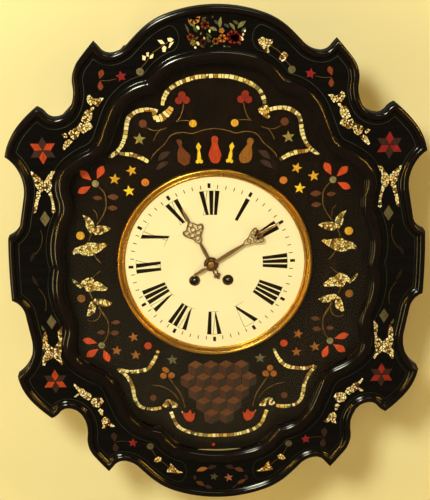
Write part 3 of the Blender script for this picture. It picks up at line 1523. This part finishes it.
LEAF_SHELLS = (
    [(131.5, 49.7), (135.2, 52.4), (142.8, 54.5), (151, 53.6), (157, 50.3), (157.2, 45.8),
     (152.3, 41.3), (145.2, 42), (137.5, 46)],
    [(152.7, 52.7), (154.7, 59.4), (160, 66), (168.7, 69.5), (164.5, 60.4), (164.6, 54.7),
     (162.6, 49), (158.3, 43.5), (157.2, 50.3)],
    [(135.8, 28.5), (140.5, 30.7), (148.7, 30), (157.4, 31.5), (160, 23), (156, 14.4),
     (147.8, 18.5), (142.3, 23)],
    [(157.4, 31.5), (163.5, 31.4), (167.4, 28), (173, 27.2), (180.6, 23.6), (183.5, 19),
     (182, 14.4), (178.6, 16.8), (173, 16.3), (168.8, 13.5), (162.2, 12.5), (156, 14), (160, 23)],
    [(138.8, -31.7), (144.2, -27.7), (148.6, -23.2), (154, -22), (156, -29), (155.4, -35),
     (146.6, -36), (141, -35.3)],
    [(154, -22), (160, -16.4), (164.5, -17), (171.7, -20.7), (175, -25), (169.7, -29.4),
     (167.6, -35.2), (163.2, -37.5), (155.4, -35)],
    [(175, -25), (179.5, -21.4), (185.5, -17), (185, -22), (180.7, -27.3), (175.3, -31.9),
     (170, -29)],
    [(133, -53.3), (140, -48.8), (148, -46.6), (156.7, -46.2), (158.5, -49), (153.6, -55.5),
     (147, -57.7), (139.2, -58.2)],
    [(158, -49), (162.4, -51), (166, -58.7), (168.5, -71), (164, -71), (157, -65.6),
     (155.3, -58.5)])
# Stars: middle, size, dye and turn. Discs: middle, radius and dye
STARS = (
    ((103, 127), 7.4, Dye.GOLD, 72), ((125, 116), 7.6, Dye.GOLD, 98),
    ((107, 100), 7.8, Dye.YELLOW, 84), ((107, -102), 7.2, Dye.TOBACCO, 80),
    ((130, -121), 7.4, Dye.TOBACCO, 100), ((105, -128), 7.2, Dye.TOBACCO, 92),
    ((92, 168), 8.4, Dye.STRAW, 94), ((56, -136), 8.0, Dye.GREY, 88))
DISCS = (
    ((86, 111), 5.0, Dye.ORANGE), ((88, -115), 5.0, Dye.RED), ((23.5, 187.2), 4.8, Dye.OCHRE),
    ((87, 188), 5.2, Dye.BROWN), ((89, -191), 4.5, Dye.BROWN))
TULIP = [(32.5, -214), (36, -217), (39, -210), (43, -215), (50, -214), (47, -222), (43, -227),
        (37.5, -228), (34, -224)]
# Flowers: heart; stems with widths; petals' starts, ends and widths; leaves' middles, heights,
# half lengths, widths and rises
FLOWERS = (
    ((150, 110.5),
     (([(147, 108), (139, 98), (137, 86), (138.1, 76.7), (142.6, 66.4), (150.4, 55.5)], 1.0),
      ([(154.4, 76.4), (150.2, 70.8), (149, 61.8)], 0.8)),
     (((147.5, 117), (139, 134), 9.5), ((155, 115), (169, 128), 9.5),
      ((156, 107), (173, 98.5), 9.0)),
     ((128, 92, 7.5, 8, 1), (148, 91, 6.5, 6, 1), (129, 77, 7.0, 7, 1))),
    ((150, -113),
     (([(147, -109), (142, -100), (140, -88), (141, -78), (147, -68), (151, -57)], 1.0),),
     (((156, -109.5), (175, -104), 9.0), ((154.5, -118), (171, -129), 9.5),
      ((147.5, -119.5), (141, -137), 9.0)),
     ((130, -80, 6.5, 6, -1), (132, -95, 6.0, 7, -1), (150, -94, 5.5, 6, -1))))
# Trefoils: lobes, their radius, stem and dye
TREFOILS = (
    (((37, 224), (31.5, 217.5), (41, 217)), 4.7,
     [(34.8, 213), (36.7, 203.5), (40.4, 194.4), (44.9, 189.8)], Dye.WINE_RED),
    (((69.5, -150.5), (63.5, -158.5), (74.5, -159)), 4.3,
     [(68.5, -160), (60, -173), (51, -188), (46, -206)], Dye.TOBACCO))
# Small square under the blocks
SQUARE = [(-10, -265), (-6, -265), (-6, -261), (-10, -261)]
# Scrolls of thin wire: points and width
SCROLLS = (
    ([(90, -172), (76, -175), (62, -184), (55, -194)], 0.8),
    ([(27.7, 190.8), (35.4, 191.3), (44, 190.4)], 0.8),
    ([(PANEL_CENTRE, 180.5), (5, 179.5), (15, 177.4), (25, 174.2), (35.3, 176), (45.5, 175),
      (53.2, 171), (59.6, 161.7), (68.5, 153.7), (75, 147), (77.6, 141.7)], 0.9),
    ([(82.4, 182.8), (73.5, 179), (63.3, 179.8), (57, 182.5)], 0.8),
    ([(63.3, 181), (69.7, 174.5), (74.2, 165.3)], 0.8))
# Figures: outlines from top to foot, the candlestick's right half about its own middle
CANDLE = [(0, 12.6), (1.7, 9.7), (3.4, 7.2), (2.1, 4.4), (1.2, 1.6), (2.0, -2.2), (2.5, -6.8),
          (2.1, -9.8), (4.2, -10.8), (4.8, -13.2), (3.2, -15.2), (1.2, -14.6), (0, -13.8)]
PIN = [(-6.3, 166.8), (-5.2, 169.7), (-2, 171), (1.2, 169.6), (2.4, 166.3), (1.4, 162.3),
       (2, 158.7), (3.5, 154.3), (5.6, 149.2), (6.3, 144.8), (4.4, 139), (2.3, 135.3),
       (-2.7, 134.7), (-7, 136.6), (-8.7, 141.4), (-10.4, 146.5), (-9, 151), (-7, 156),
       (-5.7, 160.3)]
LEANING = [(39, 162.8), (40, 166.4), (43.3, 167.8), (46.8, 166), (47.9, 162.6), (46, 159.4),
           (44.7, 156.5), (45.4, 151.4), (45.8, 145.6), (45, 140.5), (42.2, 136), (35.8, 134.4),
           (31.5, 135.2), (29, 139.3), (29, 145), (32.3, 150.2), (36.5, 155.2), (39.7, 159.5)]
HIP = [(-51.3, 165.4), (-48.4, 167), (-44.9, 166), (-43.5, 162.3), (-44.6, 159.4), (-43.3, 156.5),
       (-38.8, 151.4), (-34.6, 147.6), (-33.2, 144.7), (-34.8, 135.2), (-40.9, 132), (-46, 135.4),
       (-49.6, 138.4), (-49.9, 145.7), (-49.4, 151.5), (-47.5, 156), (-48.5, 159.5)]


@dataclass
class PanelInlay:
    """Inlays of the fixed panel: ribbons, flowers, figures, stars and the block pattern."""

    ribbon_w: float = 6.0
    block: float = 11.9
    block_top: float = -149.3
    block_rows: Sequence[int] = (4, 5, 4, 3, 2)
    work: Marquetry = field(default_factory=lambda: Marquetry(
        "panel", "case", "inlaid_panel", Y_PANEL, Shell.WARM, seed=23))

    def ribbons(self, side: Side, x: float) -> None:
        """Lays the scrolled ribbons of one side, with a knot where two meet.

        Args:
            side: Puts a shape on the left or right.
            x: One for the right side, minus one for the left.
        """
        w, low = self.ribbon_w, self.ribbon_w - 0.6
        lay, shell = self.work.ribbon, self.work.shell
        lay(side(RIBBONS["top"]), w, 0.85)
        if x > 0:
            shell(side(KNOT), size=4.2, joint=0.6)
        else:
            lay(side([(50, 209), (53, 204), (58, 199), (64, 195), (71, 193)]), 10.0, 0.75)
            lay(side([(70, 193), (72, 199), (73, 206)]), 6.0, 0.9)
        lay(side(RIBBONS["shoulder"]), w)
        shell(side(CORNER), size=4.0, joint=0.6)
        lay(side(RIBBONS["hook"]), w + 0.4, 0.6)
        lay(side(RIBBONS["bottom"]), low, 0.9)
        for shape in LOW_KNOT:
            shell(side(shape), size=3.4, joint=0.6)
        lay(side(RIBBONS["step"]), low, 0.8)
        lay(side(RIBBONS["side"]), low, 0.8)
        lay(side(RIBBONS["low_hook"]), low, 0.7)

    def flowers(self, side: Side) -> None:
        """Lays the two three-petalled flowers of one side with their stems and leaves.

        Args:
            side: Puts a shape on the left or right.
        """
        work = self.work
        for heart, stems, petals, leaves in FLOWERS:
            for stem, width in stems:
                work.wire(side(stem), width)
            work.pewter(side(disc(heart, 4.5)))
            for start, end, width in petals:
                work.wood(side(drop(start, end, width)), Dye.FLAME)
            for at, up, reach, width, lift in leaves:
                work.wood(side(leaf((at - reach, up), (at + reach, up + lift), width)), Dye.BROWN)

    def foliage(self, side: Side) -> None:
        """Lays the pearl leaves beside the dial, the discs between them and their stems.

        Args:
            side: Puts a shape on the left or right.
        """
        for stem in LEAF_STEMS:
            self.work.wire(side(stem))
        for shape in LEAF_SHELLS:
            self.work.shell(side(shape), size=3.2, joint=0.6)
        self.work.wood(side(disc((172, 41), 5.5)), Dye.OCHRE)
        self.work.wood(side(disc((174.5, -46), 5.3)), Dye.OCHRE_DARK)

    def small_things(self, side: Side) -> None:
        """Lays the stars, discs, trefoils and tulips of one side.

        Args:
            side: Puts a shape on the left or right.
        """
        work = self.work
        for at, size, dye, turn in STARS:
            work.wood(side(star(at, size, 5, 0.42, turn)), dye)
        for at, size, dye in DISCS:
            work.wood(side(disc(at, size)), dye)
        for lobes, radius, stem, dye in TREFOILS:
            work.wire(side(stem))
            for lobe in lobes:
                work.wood(side(disc(lobe, radius, 18)), dye)
        work.wood(side(TULIP), Dye.RED)
        work.shell(side(disc((50, -213), 1.6, 8)))
        for points, width in SCROLLS:
            work.wire(side(points), width)
        work.wood(side(leaf((53, 151), (69, 139), 8.0, 1.5)), Dye.UMBER)
        work.wood(side(leaf((55, 138), (72, 127), 7.0, 1.5)), Dye.UMBER)

    def figures(self) -> None:
        """Lays the five turned figures above the dial: three pins and two candlesticks."""
        stick = np.array(CANDLE + [(-x, z) for x, z in CANDLE[-2:0:-1]], float)
        for shape, dye in ((HIP, Dye.BARK), (turned(stick, 2.0) + (-22.5, 150), Dye.YELLOW),
                           (PIN, Dye.RED), (turned(stick, -9.0) + (18.6, 150), Dye.YELLOW),
                           (LEANING, Dye.OCHRE_DARK)):
            self.work.wood(np.asarray(shape, float), dye)

    def blocks(self) -> None:
        """Lays the tumbling-block pattern: hexagons, each of a light and two dark lozenges."""
        s = self.block
        deep = s * math.sqrt(3) / 2
        corners = {a: turned(np.array([[s, 0.0]]), a)[0] for a in (30, 150, 270)}
        faces = ((30, 150, Dye.BLOCK_TOP), (150, 270, Dye.BLOCK_SIDE), (270, 30, Dye.DARK))
        for row, count in enumerate(self.block_rows):
            for column in range(count):
                at = np.array([deep * (2 * column - count + 1), self.block_top - 1.5 * s * row])
                for a, b, dye in faces:
                    lozenge = [np.zeros(2), corners[a], corners[a] + corners[b], corners[b]]
                    self.work.wood(at + 0.97 * np.array(lozenge), dye)

    def build(self) -> None:
        """Builds every inlay of the panel."""
        for x in (1.0, -1.0):
            side = partial(sided, x=x, centre=PANEL_CENTRE)
            self.ribbons(side, x)
            self.flowers(side)
            self.foliage(side)
            self.small_things(side)
        self.figures()
        self.blocks()
        self.work.wood(np.array(SQUARE, float), Dye.RED)
        self.work.finish()


@dataclass
class Dial:
    """Numerals and minute marks fired on the enamel, and the gilt bezel round it."""

    inner: float = 67.0
    outer: float = 99.5
    stroke: float = 4.9
    pitch: float = 6.5
    hair: float = 0.5
    gap: float = 0.9
    serif: float = 0.35
    tick: Sequence[float] = (0.52, 102.0, 107.0)
    block: Sequence[float] = (1.9, 102.9, 109.3)
    proud: float = 0.05
    sunk: float = 0.03
    bezel_r: float = 128.0

    def printed(self, piece: Piece, radii: Array, across: Array, hour: float) -> None:
        """Prints one shape, given round the dial's middle.

        A point lies at its radius, and turned from the hour's direction by its distance across
        over the middle radius of the numerals, so that strokes fan out.

        Args:
            piece: Piece that gathers the print.
            radii: Distance of each corner from the middle.
            across: Distance of each corner from the hour's line, clockwise.
            hour: Hour that the shape belongs to.
        """
        angle = math.radians(30 * hour) + PRINT_TURN + across / ((self.inner + self.outer) / 2)
        outline = PRINT_AT + radii[:, None] * np.column_stack([np.sin(angle), np.cos(angle)])
        piece.plate(outline, Y_DIAL - self.proud, Y_DIAL + self.sunk)

    def numeral(self, piece: Piece, signs: str, hour: float) -> None:
        """Prints a Roman numeral with its foot towards the middle.

        Args:
            piece: Piece that gathers the print.
            signs: The numeral's letters.
            hour: Where it stands.
        """
        wide = {"I": self.pitch, "V": 11.6, "X": 11.0}
        if len(signs) == 1:
            wide |= {"V": 19.0, "X": 21.0}
        whole = sum(wide[s] for s in signs)
        at, half = -whole / 2, self.stroke / 2
        for sign in signs:
            mid, reach = at + wide[sign] / 2, wide[sign] / 2 - self.gap
            if signs == "V":
                shapes = [[(-9.2, 1), (self.stroke - 9.0, 1), (6.9, 0.14), (6.2, 0), (5.5, 0)],
                          [(5.8, 0), (6.2, 0), (9.0, 1), (9.0 - self.hair, 1)]]
            elif signs == "X":
                edge = wide[sign] / 2
                shapes = [[(-edge, 1), (self.stroke - edge, 1), (edge, 0), (edge - self.stroke, 0)],
                          [(1.2, 0), (1.2 + self.hair, 0), (-1.4, 1), (-1.4 - self.hair, 1)]]
            elif sign == "I":
                shapes = [[(-half, 0), (half, 0), (half, 1), (-half, 1)]]
            elif sign == "V":
                shapes = [[(-reach, 1), (self.stroke - reach, 1), (1.5, 0.2), (0.4, 0), (-0.2, 0)],
                          [(0.1, 0), (0.4, 0), (reach, 1), (reach - self.hair, 1)]]
            else:
                shapes = [[(-reach, 1), (self.stroke - reach, 1), (reach, 0),
                           (reach - self.stroke, 0)],
                          [(-reach, 0), (-reach + self.hair, 0), (reach, 1),
                           (reach - self.hair, 1)]]
            for rows in shapes:
                corners = np.array(rows, float)
                self.printed(piece, self.inner + corners[:, 1] * (self.outer - self.inner),
                             mid + corners[:, 0], hour)
            at += wide[sign]
        across = np.linspace(-1.0, 1.0, 6) * (whole / 2 - 0.6)
        for radius in (self.inner, self.outer - self.serif):
            radii = radius + np.repeat([0.0, self.serif], 6)
            self.printed(piece, radii, np.concatenate([across, across[::-1]]), hour)

    def marks(self, piece: Piece) -> None:
        """Prints a tick for each minute and a block at each fifth.

        Args:
            piece: Piece that gathers the print.
        """
        for minute in range(60):
            half, low, high = self.tick if minute % 5 else self.block
            corners = np.array([[-half, low], [half, low], [half, high], [-half, high]])
            across = corners[:, 0] * (self.inner + self.outer) / 2 / corners[:, 1]
            self.printed(piece, corners[:, 1], across, minute / 5)

    def bezel(self) -> None:
        """Turns the bezel: outer bead, hollow, inner bead and a step down to the enamel."""
        r = self.bezel_r
        t = np.linspace(0.0, math.pi, 13)
        outer = np.column_stack([r - 2.6 + 2.6 * np.cos(t), 3.2 + 2.8 * np.sin(t)])
        inner = np.column_stack([r - 8.2 + 1.3 * np.cos(t), 2.8 + 1.2 * np.sin(t)])
        rows = np.concatenate([[[r, 0.0], [r, 2.6]], outer, [[r - 5.8, 2.9], [r - 6.5, 2.7]], inner,
                               [[r - 9.9, 2.3], [r - 10.5, 1.9], [r - 10.5, 1.52],
                                [r - 6.8, 1.52], [r - 6.7, 0.0]]])
        a = np.linspace(0.0, 2 * math.pi, 256, endpoint=False)[:, None]
        rings = np.stack([BEZEL_X + rows[:, 0] * np.cos(a), Y_PANEL - rows[:, 1] + 0 * a,
                          rows[:, 0] * np.sin(a)], -1)
        piece = Piece("bezel_ring")
        piece.tube(rings, True)
        piece.finish(GILT, "case", "gilt_brass", 35.0, ["bezel"])

    def build(self) -> None:
        """Builds the print and the bezel."""
        piece = Piece("dial_print")
        numerals = ("XII", "I", "II", "III", "IIII", "V", "VI", "VII", "VIII", "IX", "X", "XI")
        for hour, signs in enumerate(numerals):
            self.numeral(piece, signs, hour)
        self.marks(piece)
        piece.finish(INK, "case", "enamel", 30.0)
        self.bezel()


@dataclass
class Hand:
    """A pierced hand of bronzed brass, made of bars and scrolls along curves.

    The pierced eye runs from low to high and swells to its half width at the belly's share of the
    way. Lengths are from the hub's middle.
    """

    body: str
    angle: float
    depth: float
    length: float
    low: float
    high: float
    half: float
    hub: float
    bore: float
    tail: float
    belly: float
    forked: bool
    thick: float = 0.8
    wire: float = 1.6
    lift: float = 0.012
    cells: Sequence[float] = (0.4, 0.75)

    def bar(self, piece: Piece, points: Points, widths: Sequence[float]) -> None:
        """Adds a bar with chamfered edges along a curve in the hand's own frame, mirrored too.

        Each part added stands a little higher than the last, so that no two faces lie in one plane.

        Args:
            piece: Piece that gathers the hand.
            points: Across and along, from the hub.
            widths: Width at each point.
        """
        rows = smooth(np.column_stack([points, widths]), 6)
        middle = bool(np.abs(rows[:, 0]).max() < 1e-6)
        for sign in (1.0,) if middle else (1.0, -1.0):
            line = rows[:, :2] * np.array([sign, 1.0])
            side = normals(line) * rows[:, 2:3] / 2
            section = ((1.0, 0.0), (1.0, 0.55), (0.5, 1.0), (-0.5, 1.0), (-1.0, 0.55), (-1.0, 0.0))
            thick = self.thick + self.lift * len(piece.points)
            rings = np.stack([self.placed(line + s * side, h * thick) for s, h in section], 1)
            piece.tube(rings, False)

    def placed(self, flat: Array, rise: float) -> Array:
        """Turns points to the hand's time and puts them in its plane."""
        return at_depth(turned(flat, -self.angle) + HUB_AT, self.depth - rise)

    def ring(self, piece: Piece, middle: Sequence[float], outer: float, inner: float) -> None:
        """Adds a flat ring with rounded edges.

        Args:
            piece: Piece that gathers the hand.
            middle: Its middle, across and along from the hub.
            outer: Its outer radius.
            inner: Radius of its hole.
        """
        way = circle(36)
        soft = min(0.4, (outer - inner) / 3)
        section = ((outer, 0.0), (outer, 0.55), (outer - soft, 1.0), (inner + soft, 1.0),
                   (inner, 0.55), (inner, 0.0))
        thick = self.thick + self.lift * len(piece.points)
        rings = np.stack([self.placed(np.array(middle) + r * way, h * thick)
                          for r, h in section], 1)
        piece.tube(rings, True)

    def cluster(self, piece: Piece) -> None:
        """Adds the pierced part: rings like grapes inside an outline that opens to its belly.

        Args:
            piece: Piece that gathers the hand.
        """
        b, span, foot = self.belly, np.array([self.half, self.high - self.low]), (0.0, self.low)
        edge = np.array([(0, 0), (0.3, 0.2 * b), (0.4, 0.45 * b), (0.74, 0.7 * b), (1, b - 0.04),
                         (0.96, b + 0.08), (0.62, b + 0.1), (0.3, 1 - (1 - b) * 0.35), (0, 1)])
        self.bar(piece, foot + edge * span, [self.wire] * len(edge))
        eye = self.half / 4
        for share in ((0, 0.4 * b), (0.3, 0.7 * b), (-0.3, 0.72 * b), (0.7, b), (-0.7, b),
                      (0, b + 0.02), (0, (b + 1) / 2 + 0.06)):
            self.ring(piece, foot + share * span, eye + self.cells[0], eye - self.cells[1])

    def build(self) -> None:
        """Builds shaft, pierced cluster, point, hub and tail."""
        piece = Piece(f"{self.body}_hand_pierced")
        dark = Piece(f"{piece.name}_hub")
        low, high, hub, tail, half = self.low, self.high, self.hub, self.tail, self.half
        self.bar(piece, [(0, hub - 1), (0, (hub + low) / 2), (0, low + 1)], [4.6, 5.2, 3.2])
        self.cluster(piece)
        self.bar(piece, [(0, high - 1), (0, (high + self.length) / 2), (0, self.length)],
                 [4.0, 3.4, 1.2])
        self.ring(dark, (0, 0), hub, self.bore)
        if self.forked:
            self.bar(dark, [(1.4, 0.6 - hub), (2.8, -hub - 3.4), (0.6, 4.5 - tail)],
                     [1.5, 1.5, 1.6])
            for x, z in ((-2.7, 2.9), (2.7, 2.9), (0.0, 0.0)):
                self.ring(dark, (x, z - tail), 2.2, 0.5)
        else:
            self.bar(piece, [(0, 1 - hub), (0, -tail * 0.62), (0, -tail)], [2.8, 4.4, 3.2])
            self.ring(piece, (0, -tail), 2.4, 0.4)
            far = low + self.belly * (high - low)
            for x, z in ((0.0, high), (0.6 * half, far + 4)):
                self.bar(dark, [(0.15 * x, far - 2), (0.7 * x, far + 1), (x, z)], [1.4, 4.6, 1.6])
        piece.finish(BRONZED, self.body, "bronzed_brass", 35.0, [f"{self.body}_hand"])
        dark.finish(DARK_METAL, self.body, "bronzed_brass", 35.0)


@dataclass
class ArborTips:
    """Polished rounded ends of the two winding squares, seen deep in their holes."""

    across: float = 21.9
    below: float = 23.2
    radius: float = 1.7
    base_y: float = -95.15
    rise: float = 0.8

    def build(self) -> None:
        """Turns each end: a dome whose rise falls with the cosine of the angle from its tip."""
        a = np.linspace(0.0, 2 * math.pi, 24, endpoint=False)[None, :, None]
        t = np.linspace(0.06, math.pi / 2, 7)[:, None, None]
        for name, body, x in (("going_arbor_tip", "going_arbor", 1.0),
                              ("strike_arbor_tip", "strike_arbor", -1.0)):
            middle = np.array([HUB_AT[0] + x * self.across, self.base_y, -self.below])
            way = np.concatenate([np.cos(a), 0 * a, np.sin(a)], -1)
            rings = (middle + self.radius * np.sin(t) * way
                     - np.array([0.0, 1.0, 0.0]) * self.rise * np.cos(t))
            foot = middle + self.radius * way + np.array([0.0, 0.3, 0.0])
            piece = Piece(name)
            piece.tube(np.concatenate([rings, foot]), False)
            piece.finish(STEEL, body, "steel", 50.0)


# Finishes of the CAD nodes that keep their shape, by slot and for two by name
SLOT_FINISHES: dict[str, Finish] = {
    "ebonised_wood": BLACK_WOOD, "plain_wood": PINE, "inlaid_panel": VENEER, "steel": STEEL,
    "gilt_brass": GILT, "brass": BRASS, "bronzed_brass": BRONZED, "enamel": ENAMEL, "glass": GLASS}
NODE_FINISHES: dict[str, Finish] = {"winding_grommets": DARK_METAL, "hand_nut": BRONZED}


def dress_nodes() -> None:
    """Gives every CAD node that still shows the finish of its slot in the record."""
    for row in frame["record"]["subparts"]:
        node = frame["nodes"][row["node"]]
        finish = NODE_FINISHES.get(row["node"], SLOT_FINISHES[row["material_slot"]])
        node.data.materials.clear()
        node.data.materials.append(finish.material())


@dataclass(frozen=True)
class PaintedWall(Finish):
    """Matt cream wall paint, seen only from its front so that the clock's back can be looked at."""

    name: str = "wall_paint_matt"
    cloud: float = 300.0

    def shader(self, tree: Tree, place: Socket) -> dict:
        """Builds flat paint with a faint roller texture.

        Args:
            tree: Node tree to build in.
            place: Object coordinates.

        Returns:
            Inputs of the Principled shader.
        """
        cloud = noise(tree, place, self.cloud).outputs["Fac"]
        return {"Base Color": ramp(tree, cloud, (0.3, "#ebe0b6"), (0.7, "#efe4bb")),
                "Roughness": 0.85}

    def surface(self, tree: Tree, principled: bpy.types.Node) -> Socket:
        """Leaves the wall out where it is seen from behind.

        Args:
            tree: Node tree to build in.
            principled: The finish's Principled shader.

        Returns:
            Socket that the material's output takes.
        """
        behind = add_node(tree, "ShaderNodeNewGeometry").outputs["Backfacing"]
        clear = add_node(tree, "ShaderNodeBsdfTransparent").outputs["BSDF"]
        return either(tree, behind, principled.outputs["BSDF"], clear)


@dataclass(frozen=True)
class FloorPaint(Finish):
    """Matt pale grey studio floor."""

    name: str = "studio_floor"
    cloud: float = 400.0

    def shader(self, tree: Tree, place: Socket) -> dict:
        """Builds flat paint with faint clouds.

        Args:
            tree: Node tree to build in.
            place: Object coordinates.

        Returns:
            Inputs of the Principled shader.
        """
        cloud = noise(tree, place, self.cloud).outputs["Fac"]
        return {"Base Color": ramp(tree, cloud, (0.3, "#d9d4c8"), (0.7, "#dedace")),
                "Roughness": 0.8}


@dataclass
class Studio:
    """The camera at the photograph's angle, a wall and floor, and soft lamps."""

    tilt: float = 0.32505363
    around: float = -0.02827726
    roll: float = -0.00945927
    distance: float = 1762.454
    focal: float = 1350.4689
    middle: tuple[float, float] = (217.80081, 265.86941)
    image: tuple[int, int] = (430, 500)
    sensor: float = 36.0
    floor_z: float = -0.85
    reach: float = 3.0
    aim: Sequence[float] = (0.0, -0.1, 0.0)

    def camera(self) -> None:
        """Sets the camera: its place from two angles and a distance, then a roll and a shift."""
        back = Vector((math.sin(self.around) * math.cos(self.tilt),
                       -math.cos(self.around) * math.cos(self.tilt), math.sin(self.tilt)))
        right = (-back).cross(Vector((0, 0, 1))).normalized()
        up = right.cross(-back)
        across = right * math.cos(self.roll) + up * math.sin(self.roll)
        above = -right * math.sin(self.roll) + up * math.cos(self.roll)
        data = bpy.data.cameras.new("photo_camera")
        camera = bpy.data.objects.new("photo_camera", data)
        bpy.context.scene.collection.objects.link(camera)
        place = back * self.distance + Vector((0, Y_FRIEZE, 0))
        turn = Matrix((across, above, back)).transposed().to_4x4()
        camera.matrix_world = Matrix.Translation(place * MM) @ turn
        data.sensor_width = self.sensor
        data.lens = self.focal * self.sensor / self.image[1]
        data.shift_x = (self.image[0] / 2 - self.middle[0]) / self.image[1]
        data.shift_y = (self.middle[1] - self.image[1] / 2) / self.image[1]
        data.clip_end = 50.0
        bpy.context.scene.camera = camera

    def sheet(self, name: str, start: Sequence[float], end: Sequence[float],
              finish: Finish) -> bpy.types.Object:
        """Makes a flat stage sheet across the whole stage.

        Args:
            name: Name of the sheet.
            start: Its near edge's y and z, in metres.
            end: Its far edge's y and z, in metres.
            finish: Its paint.

        Returns:
            The sheet.
        """
        mesh = bpy.data.meshes.new(name)
        mesh.from_pydata([(-self.reach, *start), (self.reach, *start), (self.reach, *end),
                          (-self.reach, *end)], [], [(0, 1, 2, 3)])
        mesh.materials.append(finish.material())
        made = bpy.data.objects.new(name, mesh)
        bpy.context.scene.collection.objects.link(made)
        return made

    def lamp(self, name: str, place: Sequence[float], size: tuple[float, float], power: float,
             colour: str) -> None:
        """Hangs a soft rectangular lamp that faces the clock.

        Args:
            name: Name of the lamp.
            place: Its middle, in metres.
            size: Its width and height, in metres.
            power: Its power in watts.
            colour: Its colour.
        """
        data = bpy.data.lights.new(name, "AREA")
        data.shape, data.size, data.size_y = "RECTANGLE", *size
        data.energy, data.color = power, linear(colour)[:3]
        lamp = bpy.data.objects.new(name, data)
        bpy.context.scene.collection.objects.link(lamp)
        lamp.location = place
        lamp.rotation_mode = "QUATERNION"
        lamp.rotation_quaternion = (Vector(place) - Vector(self.aim)).to_track_quat("Z", "Y")

    def build(self) -> None:
        """Builds camera, stage, lamps and world, and sets the view."""
        self.camera()
        wall = self.sheet("wall", (0.001, self.floor_z), (0.001, 2.5), PaintedWall())
        wall.visible_diffuse = wall.visible_glossy = wall.visible_shadow = False
        floor = self.sheet("floor", (-4.0, self.floor_z), (2.0, self.floor_z), FloorPaint())
        floor.visible_glossy = False
        for row in (("key_softbox", (-0.9, -2.2, 1.6), (0.6, 0.6), 61.0, "#fcffde"),
                    ("right_strip", (1.6, -1.1, 0.7), (0.025, 0.9), 14.0, "#ffc850"),
                    ("left_strip", (-1.5, -1.0, 0.25), (0.02, 0.8), 9.0, "#ffc64a"),
                    ("left_window", (-1.4, -1.7, -0.5), (0.2, 0.6), 6.0, "#ffe49a"),
                    ("top_softbox", (0.4, -1.0, 2.0), (0.9, 0.3), 5.0, "#fffacc")):
            self.lamp(*row)
        world = bpy.data.worlds.new("studio_world")
        world.use_nodes = True
        sky = world.node_tree.nodes["Background"]
        sky.inputs["Color"].default_value = linear("#f6edc8")
        sky.inputs["Strength"].default_value = 0.09
        bpy.context.scene.world = world
        bpy.context.scene.view_settings.view_transform = "Standard"


def main() -> None:
    """Builds the clock and its studio."""
    logging.basicConfig(level=logging.INFO, format="%(message)s")
    Studio().build()
    dress_nodes()
    Door().build()
    FriezeInlay().build()
    PanelInlay().build()
    Dial().build()
    Hand(body="hour", angle=334.0, depth=-99.5, length=84.0, low=32.0, high=65.0, half=13.5,
         hub=9.6, bore=3.02, tail=20.5, belly=0.62, forked=True).build()
    Hand(body="minute", angle=57.5, depth=-102.5, length=104.0, low=50.0, high=79.0, half=10.5,
         hub=7.5, bore=1.92, tail=24.0, belly=0.8, forked=False).build()
    ArborTips().build()


if __name__ == "__main__":
    main()
